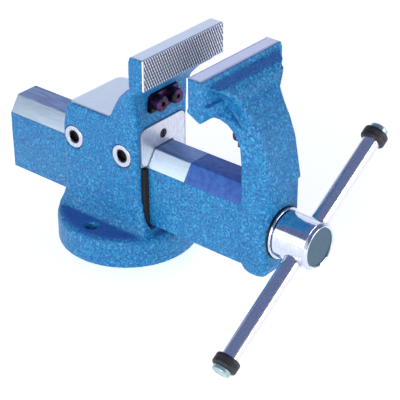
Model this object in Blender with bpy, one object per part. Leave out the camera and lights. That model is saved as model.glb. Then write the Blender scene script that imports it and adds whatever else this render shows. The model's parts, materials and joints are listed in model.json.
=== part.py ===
"""Bench vise: forged fixed body on a round base, moving jaw on a chamfered slide,
screw spindle with a sliding handle rod.

Frame: metres, +Z up, +Y from the spindle head towards the rear of the slide, X along
the jaws. The origin is the centre of the round base, on the bench plane.
"""
import math

import bmesh
import bpy
from mathutils import Matrix, Vector

# ---- fits ---------------------------------------------------------------------------
GAP = 0.0003              # between touching pieces
BORE_GAP = 0.0003         # radial, round pieces in their bores
SLIDE_GAP = 0.0004        # slide to gibs
PLATE_GAP = 0.0012        # slide to guide plate

# ---- jaws ---------------------------------------------------------------------------
JAW_WIDTH = 0.125
JAW_H = 0.038             # height of a jaw block
JAW_DEPTH = 0.018         # depth of the fixed jaw's top
MOVING_JAW_DEPTH = 0.0176
JAW_EDGE = 0.003          # chamfer of the jaw blocks' outer edges
JAW_DROOP = 0.005         # how far a jaw's underside falls towards its neck
MOVING_JAW_DROP = 0.0065  # moving jaw's underside below the fixed one's
OPENING = 0.055           # between the jaws as modelled
MAX_OPENING = 0.143

# ---- slide --------------------------------------------------------------------------
SLIDE_W = 0.0525
SLIDE_TOP_W = 0.028
SLIDE_DRAW_IN = 0.00085   # each side of the foot inside the slide's full width
SLIDE_TAPER_H = 0.043     # the sides draw in a little below this height
SLIDE_TAPER_POWER = 1.35
SLIDE_SIDE_H = 0.0675
SLIDE_BEVEL_H = 0.018
HOLLOW_SIDE_GAP = 0.00155 # nut to the hollow's wide part
HOLLOW_FOOT_GAP = 0.0016  # nut to the hollow's mouth
HOLLOW_FOOT_H = 0.014     # the hollow is narrow up to here above the underside
HOLLOW_SPREAD_H = 0.015   # and at its full width this much higher
SLIDE_ROOF = 0.013
SLIDE_TAIL = 0.005        # slide left behind the body when fully open

# ---- fixed body ---------------------------------------------------------------------
BASE_R = 0.077
BASE_T = 0.034
BASE_EDGE = 0.006
BASE_BOLT_R = 0.007
BASE_BOLT_X = 0.0575
BASE_SEGMENTS = 64
FLOOR_T = 0.005           # channel floor above the base
SLIDE_LIFT = 0.0025       # slide's underside above the channel floor
REAR_GAP = 0.002          # slide to the body's rear opening
CHANNEL_CORNER = 0.003    # lower corners of the channel
CHANNEL_HEAD = 0.006      # channel roof above the slide
ANVIL_CROWN = 0.029       # anvil top above the channel roof
NECK_H = 0.052            # anvil top to the underside of the fixed jaw
BODY_WALL = 0.0085
GIB_SPACE = 0.00675       # slide side to channel wall
BODY_FRONT_Y = -0.052
BODY_LEN = 0.108
BODY_FLARE = 0.010        # how far the body spreads forwards and back at the base
BODY_WAIST = 0.0025
BODY_CORNER = 0.008
ANVIL_LEN = 0.055
ANVIL_SETBACK = 0.0145    # anvil's rear edge in front of the body's rear
JAW_OVERHANG = 0.031      # fixed jaw face in front of the body's front
REAR_LIP = 0.006          # closes the gib space at the rear
NECK_SPREAD = 0.0015      # neck stays this much inside the jaw's ends

# ---- guide plate, gibs and their screws ---------------------------------------------
PLATE_T = 0.0065
PLATE_PROUD = 0.001
PLATE_LAP = 0.001         # plate beyond the channel's walls
PLATE_TOP_H = 0.0215      # above the channel roof
PLATE_CORNER = 0.007
PLATE_LEG = 0.015         # below the slide's top flat
PLATE_SCREW_RISE = 0.0065  # above the channel roof
PLATE_SCREW_R = 0.003
PLATE_SCREW_HEAD_R = 0.005
PLATE_SCREW_HEAD_H = 0.0028
PLATE_SCREW_LEN = 0.018
PLATE_SCREW_SLOT = 0.0014
GIB_FOOT = 0.003          # gib below the slide's bevel
ADJUST_R = 0.013
ADJUST_FRONT_SETBACK = 0.022  # screws from the body's front and rear
ADJUST_REAR_SETBACK = 0.018
ADJUST_SOCKET_AF = 0.012
ADJUST_SOCKET_DEPTH = 0.005
ADJUST_SINK = 0.0006      # screw's end below the body's side

# ---- pipe jaws ----------------------------------------------------------------------
PIPE_HALF_W = 0.021
PIPE_H = 0.020
PIPE_LOBE_R = 0.0085
PIPE_LOBE_X = 0.0118
PIPE_SEAT = 0.006         # depth of its seat
PIPE_REACH = 0.012        # lobes in front of the seat's mouth
PIPE_BAR = 0.004          # bar in front of the seat's mouth
PIPE_DROP = 0.007         # seat's top below the fixed jaw's neck line
PIPE_SCREW_R = 0.0025
PIPE_SCREW_LEN = 0.012

# ---- moving jaw ---------------------------------------------------------------------
THROAT = 0.038            # jaw face to the column's rear face
COLUMN_T = 0.034
BOSS_TOP_H = 0.004        # crease above the slide's top flat
BOSS_DROP = 0.0085        # boss below the slide's underside
BOSS_WALL = 0.025         # wall in front of the slide's hollow
COLUMN_WIDER = 0.0008     # column beyond the slide's side

# ---- spindle ------------------------------------------------------------------------
SPINDLE_H = 0.0385        # axis above the slide's underside
SPINDLE_R = 0.011
THREAD_TAIL = 0.006       # thread left in the nut when fully open
WASHER_T = 0.0015
WASHER_R = 0.0282
FLANGE_R = 0.0275
FLANGE_T = 0.0025
GROOVE_T = 0.0008
GROOVE_R = 0.0230
HEAD_R = 0.0254
HEAD_LEN = 0.0416
HEAD_EDGE = 0.003
HEAD_DISH = 0.0008
COLLAR_WALL = 0.0048
COLLAR_T = 0.011
COLLAR_PIN_R = 0.002
SPINDLE_SEGMENTS = 40

# ---- spindle nut --------------------------------------------------------------------
NUT_WALL = 0.0045         # beside the spindle
NUT_FOOT_WALL = 0.0042    # beside the bolts
NUT_LEN = 0.048
NUT_ROOF = 0.007          # above the spindle
NUT_SPREAD_GAP = 0.0015   # its widening starts this much above the hollow's
NUT_BOLT_R = 0.005
NUT_BOLT_HEAD_R = 0.009
NUT_BOLT_HEAD_T = 0.009
NUT_BOLT_PITCH = 0.030
NUT_BOLT_BITE = 0.016     # bolt above the channel floor
NUT_BOLT_RECESS = 0.003
NUT_BOLT_AF = 0.008

# ---- handle -------------------------------------------------------------------------
ROD_R = 0.0095
ROD_LEN = 0.294
ROD_SHIFT = -0.007        # rod's middle from the head's axis, towards its upper end
ROD_TILT = math.radians(32.4)
ROD_SETBACK = 0.0179      # rod's axis behind the head's front
CAP_OVER = 0.0003         # cap beyond the rod
CAP_T = 0.005
CAP_EDGE = 0.0015
RING_WALL = 0.0039
RING_T = 0.012
RING_EDGE = 0.003
ROD_SEGMENTS = 28

# ---- derived ------------------------------------------------------------------------
CHANNEL_FLOOR_Z = BASE_T + FLOOR_T
SLIDE_BOTTOM_Z = CHANNEL_FLOOR_Z + SLIDE_LIFT
SLIDE_SIDE_Z = SLIDE_BOTTOM_Z + SLIDE_SIDE_H
SLIDE_TOP_Z = SLIDE_SIDE_Z + SLIDE_BEVEL_H
CHANNEL_TOP_Z = SLIDE_TOP_Z + CHANNEL_HEAD
ANVIL_Z = CHANNEL_TOP_Z + ANVIL_CROWN
JAW_BOTTOM_Z = ANVIL_Z + NECK_H
JAW_TOP_Z = JAW_BOTTOM_Z + JAW_H
SPINDLE_Z = SLIDE_BOTTOM_Z + SPINDLE_H
SLIDE_HALF_W = SLIDE_W / 2
SLIDE_TOP_HALF_W = SLIDE_TOP_W / 2
CHANNEL_HALF_W = SLIDE_HALF_W + GIB_SPACE
BODY_HALF_W = CHANNEL_HALF_W + BODY_WALL
BODY_REAR_Y = BODY_FRONT_Y + BODY_LEN
FACE_Y = BODY_FRONT_Y - JAW_OVERHANG
MOVING_FACE_Y = FACE_Y - OPENING
COLUMN_REAR_Y = MOVING_FACE_Y - THROAT
BOSS_Y = COLUMN_REAR_Y - COLUMN_T
HOLLOW_FRONT_Y = BOSS_Y + BOSS_WALL
TRAVEL_OPEN = MAX_OPENING - OPENING
SLIDE_REAR_Y = BODY_REAR_Y + TRAVEL_OPEN + SLIDE_TAIL
NUT_HALF_W = SPINDLE_R + NUT_WALL
NUT_FOOT_HALF_W = NUT_BOLT_R + NUT_FOOT_WALL
NUT_CROWN = SPINDLE_R + NUT_ROOF
COLLAR_R = SPINDLE_R + COLLAR_WALL
HOLLOW_HALF_W = NUT_HALF_W + HOLLOW_SIDE_GAP
HOLLOW_FOOT_HALF_W = NUT_FOOT_HALF_W + HOLLOW_FOOT_GAP
PLATE_HALF_W = CHANNEL_HALF_W + PLATE_LAP
CAP_R = ROD_R + CAP_OVER
RING_R = ROD_R + RING_WALL
HOLLOW_TOP_Z = SLIDE_TOP_Z - SLIDE_ROOF
NUT_REAR_Y = NUT_LEN / 2
SPINDLE_REAR_Y = NUT_REAR_Y + TRAVEL_OPEN + THREAD_TAIL
WASHER_Y = BOSS_Y - GAP
FLANGE_Y = WASHER_Y - WASHER_T - GAP
GROOVE_Y = FLANGE_Y - FLANGE_T
HEAD_Y = GROOVE_Y - GROOVE_T
HEAD_FRONT_Y = HEAD_Y - HEAD_LEN
ROD_Y = HEAD_FRONT_Y + ROD_SETBACK
ADJUST_Z = (SLIDE_SIDE_Z + CHANNEL_TOP_Z) / 2
ADJUST_FRONT_Y = BODY_FRONT_Y + ADJUST_FRONT_SETBACK
ADJUST_REAR_Y = BODY_REAR_Y - ADJUST_REAR_SETBACK
PLATE_FRONT_Y = BODY_FRONT_Y - PLATE_PROUD
PLATE_BACK_Y = PLATE_FRONT_Y + PLATE_T
PLATE_SCREW_Z = CHANNEL_TOP_Z + PLATE_SCREW_RISE
PIPE_TOP_Z = JAW_BOTTOM_Z - NECK_H / 2 - PIPE_DROP + PIPE_H / 2
PIPE_Z = PIPE_TOP_Z - PIPE_H / 2

# ---- colours ------------------------------------------------------------------------
BLUE = (0.045, 0.19, 0.50)
BARE = (0.55, 0.58, 0.66)
DARK = (0.05, 0.05, 0.07)
BRIGHT = (0.62, 0.64, 0.68)
BRASS = (0.55, 0.42, 0.20)
RUBBER = (0.012, 0.012, 0.013)
TEAL = (0.38, 0.52, 0.52)


def clear_scene():
    for ob in list(bpy.data.objects):
        bpy.data.objects.remove(ob, do_unlink=True)


def material(name, color, roughness, metallic):
    mat = bpy.data.materials.new(name)
    mat.use_nodes = True
    bsdf = mat.node_tree.nodes["Principled BSDF"]
    bsdf.inputs["Base Color"].default_value = (*color, 1.0)
    bsdf.inputs["Roughness"].default_value = roughness
    bsdf.inputs["Metallic"].default_value = metallic
    return mat


def add_object(name, bm, origin=(0.0, 0.0, 0.0), smooth=False):
    """An object from a bmesh in world coordinates, with its origin moved."""
    bmesh.ops.remove_doubles(bm, verts=bm.verts, dist=1e-6)
    bmesh.ops.recalc_face_normals(bm, faces=bm.faces)
    bmesh.ops.translate(bm, verts=bm.verts, vec=-Vector(origin))
    mesh = bpy.data.meshes.new(name)
    bm.to_mesh(mesh)
    bm.free()
    ob = bpy.data.objects.new(name, mesh)
    ob.location = origin
    bpy.context.scene.collection.objects.link(ob)
    if smooth:
        shade(ob)
    return ob


def shade(ob, angle=math.radians(32)):
    ob.data.shade_smooth()
    ob.data.set_sharp_from_angle(angle=angle)


def loft(sections):
    """A closed solid through rings of equal length, with flat caps."""
    bm = bmesh.new()
    rings = [[bm.verts.new(p) for p in ring] for ring in sections]
    for low, high in zip(rings, rings[1:]):
        for i in range(len(low)):
            j = (i + 1) % len(low)
            bm.faces.new((low[i], low[j], high[j], high[i]))
    bm.faces.new(rings[0][::-1])
    bm.faces.new(rings[-1])
    return bm


def prism_x(profile, x0, x1):
    return loft([[Vector((x, y, z)) for y, z in profile] for x in (x0, x1)])


def prism_y(profile, y0, y1):
    return loft([[Vector((x, y, z)) for x, z in profile] for y in (y0, y1)])


def box(x0, x1, y0, y1, z0, z1):
    return prism_y([(x0, z0), (x1, z0), (x1, z1), (x0, z1)], y0, y1)


def lathe(profile, axis, centre, segments):
    """Turns (along, radius) pairs about an axis through centre."""
    turn = Vector((0, 0, 1)).rotation_difference(Vector(axis)).to_matrix().to_4x4()
    place = Matrix.Translation(centre) @ turn
    rings = []
    for along, radius in profile:
        ring = []
        for i in range(segments):
            a = 2 * math.pi * i / segments
            ring.append(place @ Vector((radius * math.cos(a), radius * math.sin(a), along)))
        rings.append(ring)
    return loft(rings)


def rounded_rect(half_w, y0, y1, z, corner, steps=4):
    """A ring at height z: a rectangle between y0 and y1 with round corners."""
    corner = min(corner, half_w * 0.98, (y1 - y0) * 0.49)
    points = []
    centres = ((half_w - corner, y1 - corner, 0.0), (corner - half_w, y1 - corner, 0.5),
               (corner - half_w, y0 + corner, 1.0), (half_w - corner, y0 + corner, 1.5))
    for cx, cy, start in centres:
        for i in range(steps + 1):
            a = math.pi * (start + 0.5 * i / steps)
            points.append(Vector((cx + corner * math.cos(a), cy + corner * math.sin(a), z)))
    return points


def boolean(ob, bm, operation):
    """Cuts ob with, or joins it to, a solid given in world coordinates."""
    tool = add_object("tool", bm)
    tool.hide_render = True
    tool.display_type = "WIRE"
    mod = ob.modifiers.new("cut", "BOOLEAN")
    mod.operation = operation
    mod.solver = "EXACT"
    mod.object = tool
    bpy.context.view_layer.update()
    graph = bpy.context.evaluated_depsgraph_get()
    mesh = bpy.data.meshes.new_from_object(ob.evaluated_get(graph))
    mesh.name = ob.name
    old = ob.data
    ob.modifiers.clear()
    ob.data = mesh
    bpy.data.meshes.remove(old)
    bpy.data.objects.remove(tool, do_unlink=True)


def cut(ob, bm):
    boolean(ob, bm, "DIFFERENCE")


def join(ob, bm):
    boolean(ob, bm, "UNION")


def hexagon(af, rim_z, depth_z, axis, centre):
    """A hexagonal cutter along an axis, by its width across flats."""
    return lathe([(depth_z, af / math.sqrt(3)), (rim_z, af / math.sqrt(3))], axis, centre, 6)


def tidy(ob, angle=math.radians(1.0)):
    """Dissolves the flat seams that joining leaves, then triangulates what is left."""
    bm = bmesh.new()
    bm.from_mesh(ob.data)
    bmesh.ops.dissolve_limit(bm, angle_limit=angle, verts=bm.verts, edges=bm.edges)
    bmesh.ops.remove_doubles(bm, verts=bm.verts, dist=1e-5)
    bmesh.ops.triangulate(bm, faces=bm.faces)
    bm.to_mesh(ob.data)
    bm.free()


# ---- profiles -----------------------------------------------------------------------
def slide_bevel_x(z, offset=0.0):
    """Half-width of the slide on its bevel at height z, moved out by offset."""
    share = (z - SLIDE_SIDE_Z) / SLIDE_BEVEL_H
    return SLIDE_HALF_W + (SLIDE_TOP_HALF_W - SLIDE_HALF_W) * share + offset


def slide_side_x(z):
    """Half-width of the slide's side at height z: upright above, drawn in below."""
    share = min(max((z - SLIDE_BOTTOM_Z) / SLIDE_TAPER_H, 0.0), 1.0)
    foot = SLIDE_HALF_W - SLIDE_DRAW_IN
    return SLIDE_HALF_W - (SLIDE_HALF_W - foot) * (1 - share) ** SLIDE_TAPER_POWER


def slide_profile(grow=0.0, floor_z=SLIDE_BOTTOM_Z, steps=6):
    """The slide's outline, moved out by grow and reaching down to floor_z."""
    right = [(slide_side_x(floor_z) + grow, floor_z)]
    for i in range(1, steps + 1):
        z = SLIDE_BOTTOM_Z + SLIDE_TAPER_H * i / steps
        right.append((slide_side_x(z) + grow, z))
    right += [(SLIDE_HALF_W + grow, SLIDE_SIDE_Z), (SLIDE_TOP_HALF_W + grow, SLIDE_TOP_Z + grow)]
    return right + [(-x, z) for x, z in right[::-1]]


def hollow_profile():
    """The slide's hollow, open below: a narrow mouth and a wide upper part."""
    mouth = SLIDE_BOTTOM_Z + HOLLOW_FOOT_H
    right = [(HOLLOW_FOOT_HALF_W, SLIDE_BOTTOM_Z - BOSS_DROP * 2), (HOLLOW_FOOT_HALF_W, mouth),
             (HOLLOW_HALF_W, mouth + HOLLOW_SPREAD_H), (HOLLOW_HALF_W, HOLLOW_TOP_Z)]
    return right + [(-x, z) for x, z in right[::-1]]


def guide_plate_profile(grow=0.0):
    """The guide plate's outline: flat top, round corners, two legs beside the slide."""
    half = PLATE_HALF_W + grow
    leg_z = SLIDE_TOP_Z - PLATE_LEG - grow
    slope = math.hypot(SLIDE_BEVEL_H, SLIDE_HALF_W - SLIDE_TOP_HALF_W) / SLIDE_BEVEL_H
    gap = PLATE_GAP * slope
    roof_z = SLIDE_TOP_Z + PLATE_GAP
    right = [(slide_bevel_x(roof_z, gap), roof_z), (slide_bevel_x(leg_z, gap), leg_z),
             (half, leg_z)]
    corner = PLATE_CORNER + grow
    top = CHANNEL_TOP_Z + PLATE_TOP_H + grow
    for i in range(6):
        a = math.pi / 2 * i / 5
        right.append((half - corner + corner * math.cos(a), top - corner + corner * math.sin(a)))
    return right + [(-x, z) for x, z in right[::-1]]


def gib_profile():
    """The right-hand gib: fills the space between the slide's bevel and the body."""
    outer = CHANNEL_HALF_W - GAP
    top = CHANNEL_TOP_Z - GAP
    foot = SLIDE_SIDE_Z - GIB_FOOT
    slope = math.hypot(SLIDE_BEVEL_H, SLIDE_HALF_W - SLIDE_TOP_HALF_W) / SLIDE_BEVEL_H
    gap = SLIDE_GAP * slope
    return [(outer, foot), (outer, top), (slide_bevel_x(SLIDE_TOP_Z, gap), top),
            (slide_bevel_x(SLIDE_TOP_Z, gap), SLIDE_TOP_Z),
            (slide_bevel_x(SLIDE_SIDE_Z, gap), SLIDE_SIDE_Z),
            (slide_bevel_x(SLIDE_SIDE_Z, gap), foot)]


def jaw_profile(face, depth, sign, drop=0.0):
    """A jaw block's end, from its face; sign is +1 if the jaw's back is at +Y."""
    low = JAW_BOTTOM_Z - drop
    back = face + sign * (depth + JAW_EDGE * 0.8)
    top_back = face + sign * depth
    points = [(face, JAW_TOP_Z), (face, low + JAW_DROOP + drop / 2),
              (back - sign * JAW_EDGE * 1.6, low),
              (back - sign * JAW_EDGE * 0.5, low + JAW_EDGE * 0.3),
              (back, low + JAW_EDGE * 1.6), (back, JAW_TOP_Z - JAW_EDGE * 2),
              (top_back, JAW_TOP_Z)]
    return points


# ---- fixed side ---------------------------------------------------------------------
def body_sections():
    """Rings of the body between the base and the anvil's top."""
    rows = []
    height = ANVIL_Z - BASE_T
    # share of height, half-width change, front flare, rear flare
    table = ((-0.06, 0.0030, 1.15, 1.05), (0.0, 0.0022, 1.0, 0.95), (0.06, -0.0008, 0.72, 0.66),
             (0.14, -BODY_WAIST, 0.40, 0.38), (0.24, -BODY_WAIST, 0.12, 0.18),
             (0.36, -BODY_WAIST, 0.0, 0.04), (0.44, -0.0006, 0.0, 0.0),
             (0.47, 0.0, 0.0, 0.0), (0.75, 0.0, 0.0, -0.05), (0.93, 0.0, 0.0, -0.50),
             (0.985, 0.0, 0.0, -1.10), (1.0, -0.0022, 0.0, -ANVIL_SETBACK / BODY_FLARE))
    for share, widen, front, rear in table:
        z = BASE_T + share * height
        rows.append(rounded_rect(BODY_HALF_W + widen, BODY_FRONT_Y - front * BODY_FLARE,
                                 BODY_REAR_Y + rear * BODY_FLARE, z, BODY_CORNER))
    return rows


def neck_sections():
    """Rings of the neck from inside the body up into the fixed jaw."""
    anvil_front = BODY_REAR_Y - ANVIL_SETBACK - ANVIL_LEN
    jaw_back = FACE_Y + JAW_DEPTH
    end = JAW_WIDTH / 2 - NECK_SPREAD
    # share of the neck's height, share of the spread, share forward (front, back)
    table = ((-0.25, 0.0, 0.0, -0.03), (0.0, 0.0, 0.0, 0.0), (0.12, 0.04, 0.0, 0.06),
             (0.35, 0.14, 0.0, 0.20), (0.58, 0.34, 0.06, 0.38), (0.78, 0.62, 0.32, 0.60),
             (0.94, 0.86, 0.68, 0.80), (1.06, 0.95, 0.88, 0.93), (1.22, 1.0, 0.97, 1.02))
    rows = []
    for up, spread, front, back in table:
        half = BODY_HALF_W + (end - BODY_HALF_W) * spread
        y0 = BODY_FRONT_Y - JAW_OVERHANG * front
        y1 = anvil_front + (jaw_back - anvil_front) * back
        rows.append(rounded_rect(half, y0, y1, ANVIL_Z + NECK_H * up, BODY_CORNER * 0.8))
    return rows


def make_fixed_body(mat):
    edge = BASE_EDGE
    base = lathe([(0.0, BASE_R - 0.001), (0.001, BASE_R), (BASE_T - edge, BASE_R),
                  (BASE_T - edge * 0.35, BASE_R - edge * 0.3), (BASE_T, BASE_R - edge)],
                 (0, 0, 1), (0, 0, 0), BASE_SEGMENTS)
    ob = add_object("fixed_body", base)
    join(ob, loft(body_sections()))
    join(ob, loft(neck_sections()))
    half = JAW_WIDTH / 2
    join(ob, prism_x(jaw_profile(FACE_Y, JAW_DEPTH, 1), -half, half))
    cut_channel(ob)
    cut_guide_seats(ob)
    cut_base_holes(ob)
    cut_pipe_seat(ob, BODY_FRONT_Y, 1)
    finish(ob, mat)
    return ob


def cut_channel(ob):
    front = BODY_FRONT_Y - BASE_R
    lip_y = BODY_REAR_Y - REAR_LIP
    half = CHANNEL_HALF_W
    corner = CHANNEL_CORNER
    right = [(half - corner, CHANNEL_FLOOR_Z), (half, CHANNEL_FLOOR_Z + corner * 3),
             (half, CHANNEL_TOP_Z)]
    cut(ob, prism_y(right + [(-x, z) for x, z in right[::-1]], front, lip_y))
    cut(ob, prism_y(slide_profile(REAR_GAP, CHANNEL_FLOOR_Z), lip_y - REAR_LIP,
                    BODY_REAR_Y + BASE_R))


def cut_guide_seats(ob):
    cut(ob, prism_y(guide_plate_profile(GAP), BODY_FRONT_Y - BODY_FLARE, PLATE_BACK_Y + GAP))
    cut(ob, lathe([(0.0, PLATE_SCREW_R + BORE_GAP), (PLATE_SCREW_LEN, PLATE_SCREW_R + BORE_GAP)],
                  (0, 1, 0), (0, PLATE_BACK_Y, PLATE_SCREW_Z), 16))
    for side in (-1, 1):
        for y in (ADJUST_FRONT_Y, ADJUST_REAR_Y):
            cut(ob, lathe([(CHANNEL_HALF_W - BODY_WALL / 2, ADJUST_R + BORE_GAP),
                           (BODY_HALF_W + BODY_WALL, ADJUST_R + BORE_GAP)],
                          (side, 0, 0), (0, y, ADJUST_Z), 32))


def cut_base_holes(ob):
    for side in (-1, 1):
        cut(ob, lathe([(-BASE_T, BASE_BOLT_R), (2 * BASE_T, BASE_BOLT_R)], (0, 0, 1),
                      (side * BASE_BOLT_X, 0, 0), 28))
    for side in (-1, 1):
        centre = (0, side * NUT_BOLT_PITCH / 2, 0)
        cut(ob, lathe([(-BASE_T, NUT_BOLT_R + BORE_GAP), (BASE_T * 2, NUT_BOLT_R + BORE_GAP)],
                      (0, 0, 1), centre, 20))
        seat = NUT_BOLT_RECESS + NUT_BOLT_HEAD_T + GAP
        cut(ob, lathe([(-BASE_T, NUT_BOLT_HEAD_R + BORE_GAP), (seat, NUT_BOLT_HEAD_R + BORE_GAP)],
                      (0, 0, 1), centre, 24))


def cut_pipe_seat(ob, face, sign):
    """The pipe jaw's seat in a face at Y = face; sign is +1 into a body at +Y."""
    half = PIPE_HALF_W + GAP
    near = face - sign * PIPE_REACH * 2
    deep = face + sign * (PIPE_SEAT + GAP)
    cut(ob, box(-half, half, min(near, deep), max(near, deep), PIPE_Z - PIPE_H / 2 - GAP,
                PIPE_Z + PIPE_H / 2 + GAP))
    for side in (-1, 1):
        cut(ob, lathe([(0.0, PIPE_SCREW_R + BORE_GAP), (PIPE_SCREW_LEN, PIPE_SCREW_R + BORE_GAP)],
                      (0, sign, 0), (side * PIPE_LOBE_X, deep - sign * GAP, PIPE_Z), 12))


def finish(ob, mat):
    tidy(ob)
    ob.data.materials.clear()
    ob.data.materials.append(mat)
    shade(ob)


def make_guide_plate(mat):
    ob = add_object("guide_plate", prism_y(guide_plate_profile(), PLATE_FRONT_Y, PLATE_BACK_Y))
    cut(ob, lathe([(-PLATE_T, PLATE_SCREW_R + BORE_GAP), (PLATE_T * 2, PLATE_SCREW_R + BORE_GAP)],
                  (0, 1, 0), (0, PLATE_FRONT_Y, PLATE_SCREW_Z), 16))
    cut(ob, lathe([(-PLATE_T, PLATE_SCREW_HEAD_R + BORE_GAP),
                   (PLATE_SCREW_HEAD_H + GAP, PLATE_SCREW_HEAD_R + BORE_GAP)],
                  (0, 1, 0), (0, PLATE_FRONT_Y, PLATE_SCREW_Z), 24))
    finish(ob, mat)


def make_guide_plate_screw(mat):
    head = PLATE_SCREW_HEAD_H
    ob = add_object("guide_plate_screw",
                    lathe([(0.0, PLATE_SCREW_HEAD_R), (head, PLATE_SCREW_HEAD_R),
                           (head, PLATE_SCREW_R), (PLATE_SCREW_LEN, PLATE_SCREW_R)],
                          (0, 1, 0), (0, PLATE_FRONT_Y, PLATE_SCREW_Z), 24))
    slot = PLATE_SCREW_SLOT / 2
    cut(ob, box(-slot, slot, PLATE_FRONT_Y - head, PLATE_FRONT_Y + head / 2,
                PLATE_SCREW_Z - 2 * PLATE_SCREW_HEAD_R, PLATE_SCREW_Z + 2 * PLATE_SCREW_HEAD_R))
    finish(ob, mat)


def make_gibs(mat):
    y0 = PLATE_BACK_Y + GAP
    y1 = BODY_REAR_Y - REAR_LIP - GAP
    profile = gib_profile()
    for name, side in (("gib_left", -1), ("gib_right", 1)):
        ob = add_object(name, prism_y([(side * x, z) for x, z in profile], y0, y1))
        finish(ob, mat)


def make_adjusting_screws(mat):
    inner = CHANNEL_HALF_W + GAP
    outer = BODY_HALF_W - ADJUST_SINK
    edge = (outer - inner) / 8
    for side_name, side in (("left", -1), ("right", 1)):
        for end_name, y in (("front", ADJUST_FRONT_Y), ("rear", ADJUST_REAR_Y)):
            centre = (side * BODY_HALF_W, y, ADJUST_Z)
            near = inner - BODY_HALF_W
            far = outer - BODY_HALF_W
            ob = add_object("adjusting_screw_" + side_name + "_" + end_name,
                            lathe([(near, ADJUST_R), (far - edge, ADJUST_R),
                                   (far, ADJUST_R - edge)], (side, 0, 0), centre, 32), centre)
            cut(ob, hexagon(ADJUST_SOCKET_AF, BODY_WALL, far - ADJUST_SOCKET_DEPTH,
                            (side, 0, 0), centre))
            finish(ob, mat)


def make_pipe_jaw(name, face, sign, mat):
    """A toothed V insert: two lobes in front of a bar, in its seat at Y = face."""
    back = face + sign * PIPE_SEAT
    bar = face - sign * PIPE_BAR
    lobe = face - sign * PIPE_REACH
    low, high = PIPE_Z - PIPE_H / 2, PIPE_Z + PIPE_H / 2
    ob = add_object(name, box(-PIPE_HALF_W, PIPE_HALF_W, min(back, bar), max(back, bar),
                              low, high))
    for side in (-1, 1):
        start = (side * PIPE_LOBE_X, back - sign * PIPE_SEAT / 2, PIPE_Z)
        length = abs(lobe - start[1])
        join(ob, lathe([(0.0, PIPE_LOBE_R), (length - 0.001, PIPE_LOBE_R),
                        (length, PIPE_LOBE_R - 0.001)], (0, -sign, 0), start, 24))
        cut(ob, lathe([(-PIPE_REACH, PIPE_SCREW_R + BORE_GAP),
                       (PIPE_REACH * 3, PIPE_SCREW_R + BORE_GAP)],
                      (0, sign, 0), (side * PIPE_LOBE_X, lobe, PIPE_Z), 12))
    finish(ob, mat)


def make_pipe_jaw_screws(name, face, sign, mat):
    lobe = face - sign * (PIPE_REACH - PIPE_SCREW_R)
    end = PIPE_REACH + PIPE_SEAT + PIPE_SCREW_LEN - PIPE_SCREW_R * 2
    for side_name, side in (("left", -1), ("right", 1)):
        centre = (side * PIPE_LOBE_X, lobe, PIPE_Z)
        ob = add_object(name + "_" + side_name,
                        lathe([(0.0, PIPE_SCREW_R), (end, PIPE_SCREW_R)], (0, sign, 0),
                              centre, 12))
        cut(ob, hexagon(PIPE_SCREW_R, -PIPE_SCREW_R, PIPE_SCREW_R, (0, sign, 0), centre))
        finish(ob, mat)


def make_spindle_nut(mat):
    y1 = NUT_LEN / 2
    top = SPINDLE_Z + NUT_CROWN
    edge = NUT_HALF_W / 3
    waist = SLIDE_BOTTOM_Z + HOLLOW_FOOT_H + NUT_SPREAD_GAP
    right = [(NUT_FOOT_HALF_W, CHANNEL_FLOOR_Z + GAP), (NUT_FOOT_HALF_W, waist),
             (NUT_HALF_W, waist + HOLLOW_SPREAD_H), (NUT_HALF_W, top - edge),
             (NUT_HALF_W - edge, top)]
    profile = right + [(-x, z) for x, z in right[::-1]]
    ob = add_object("spindle_nut", prism_y(profile, -y1, y1))
    cut(ob, lathe([(-NUT_LEN, SPINDLE_R + BORE_GAP), (NUT_LEN, SPINDLE_R + BORE_GAP)],
                  (0, 1, 0), (0, 0, SPINDLE_Z), SPINDLE_SEGMENTS))
    for side in (-1, 1):
        cut(ob, lathe([(0.0, NUT_BOLT_R + BORE_GAP),
                       (CHANNEL_FLOOR_Z + NUT_BOLT_BITE + GAP, NUT_BOLT_R + BORE_GAP)],
                      (0, 0, 1), (0, side * NUT_BOLT_PITCH / 2, 0), 20))
    finish(ob, mat)


def make_nut_bolts(mat):
    z0 = NUT_BOLT_RECESS
    z1 = z0 + NUT_BOLT_HEAD_T
    z2 = CHANNEL_FLOOR_Z + NUT_BOLT_BITE
    for name, side in (("nut_bolt_front", -1), ("nut_bolt_rear", 1)):
        centre = (0, side * NUT_BOLT_PITCH / 2, 0)
        ob = add_object(name, lathe([(z0, NUT_BOLT_HEAD_R), (z1, NUT_BOLT_HEAD_R),
                                     (z1, NUT_BOLT_R), (z2, NUT_BOLT_R)],
                                    (0, 0, 1), centre, 24))
        cut(ob, hexagon(NUT_BOLT_AF, -z0, z0 + NUT_BOLT_HEAD_T / 2, (0, 0, 1), centre))
        finish(ob, mat)


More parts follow.
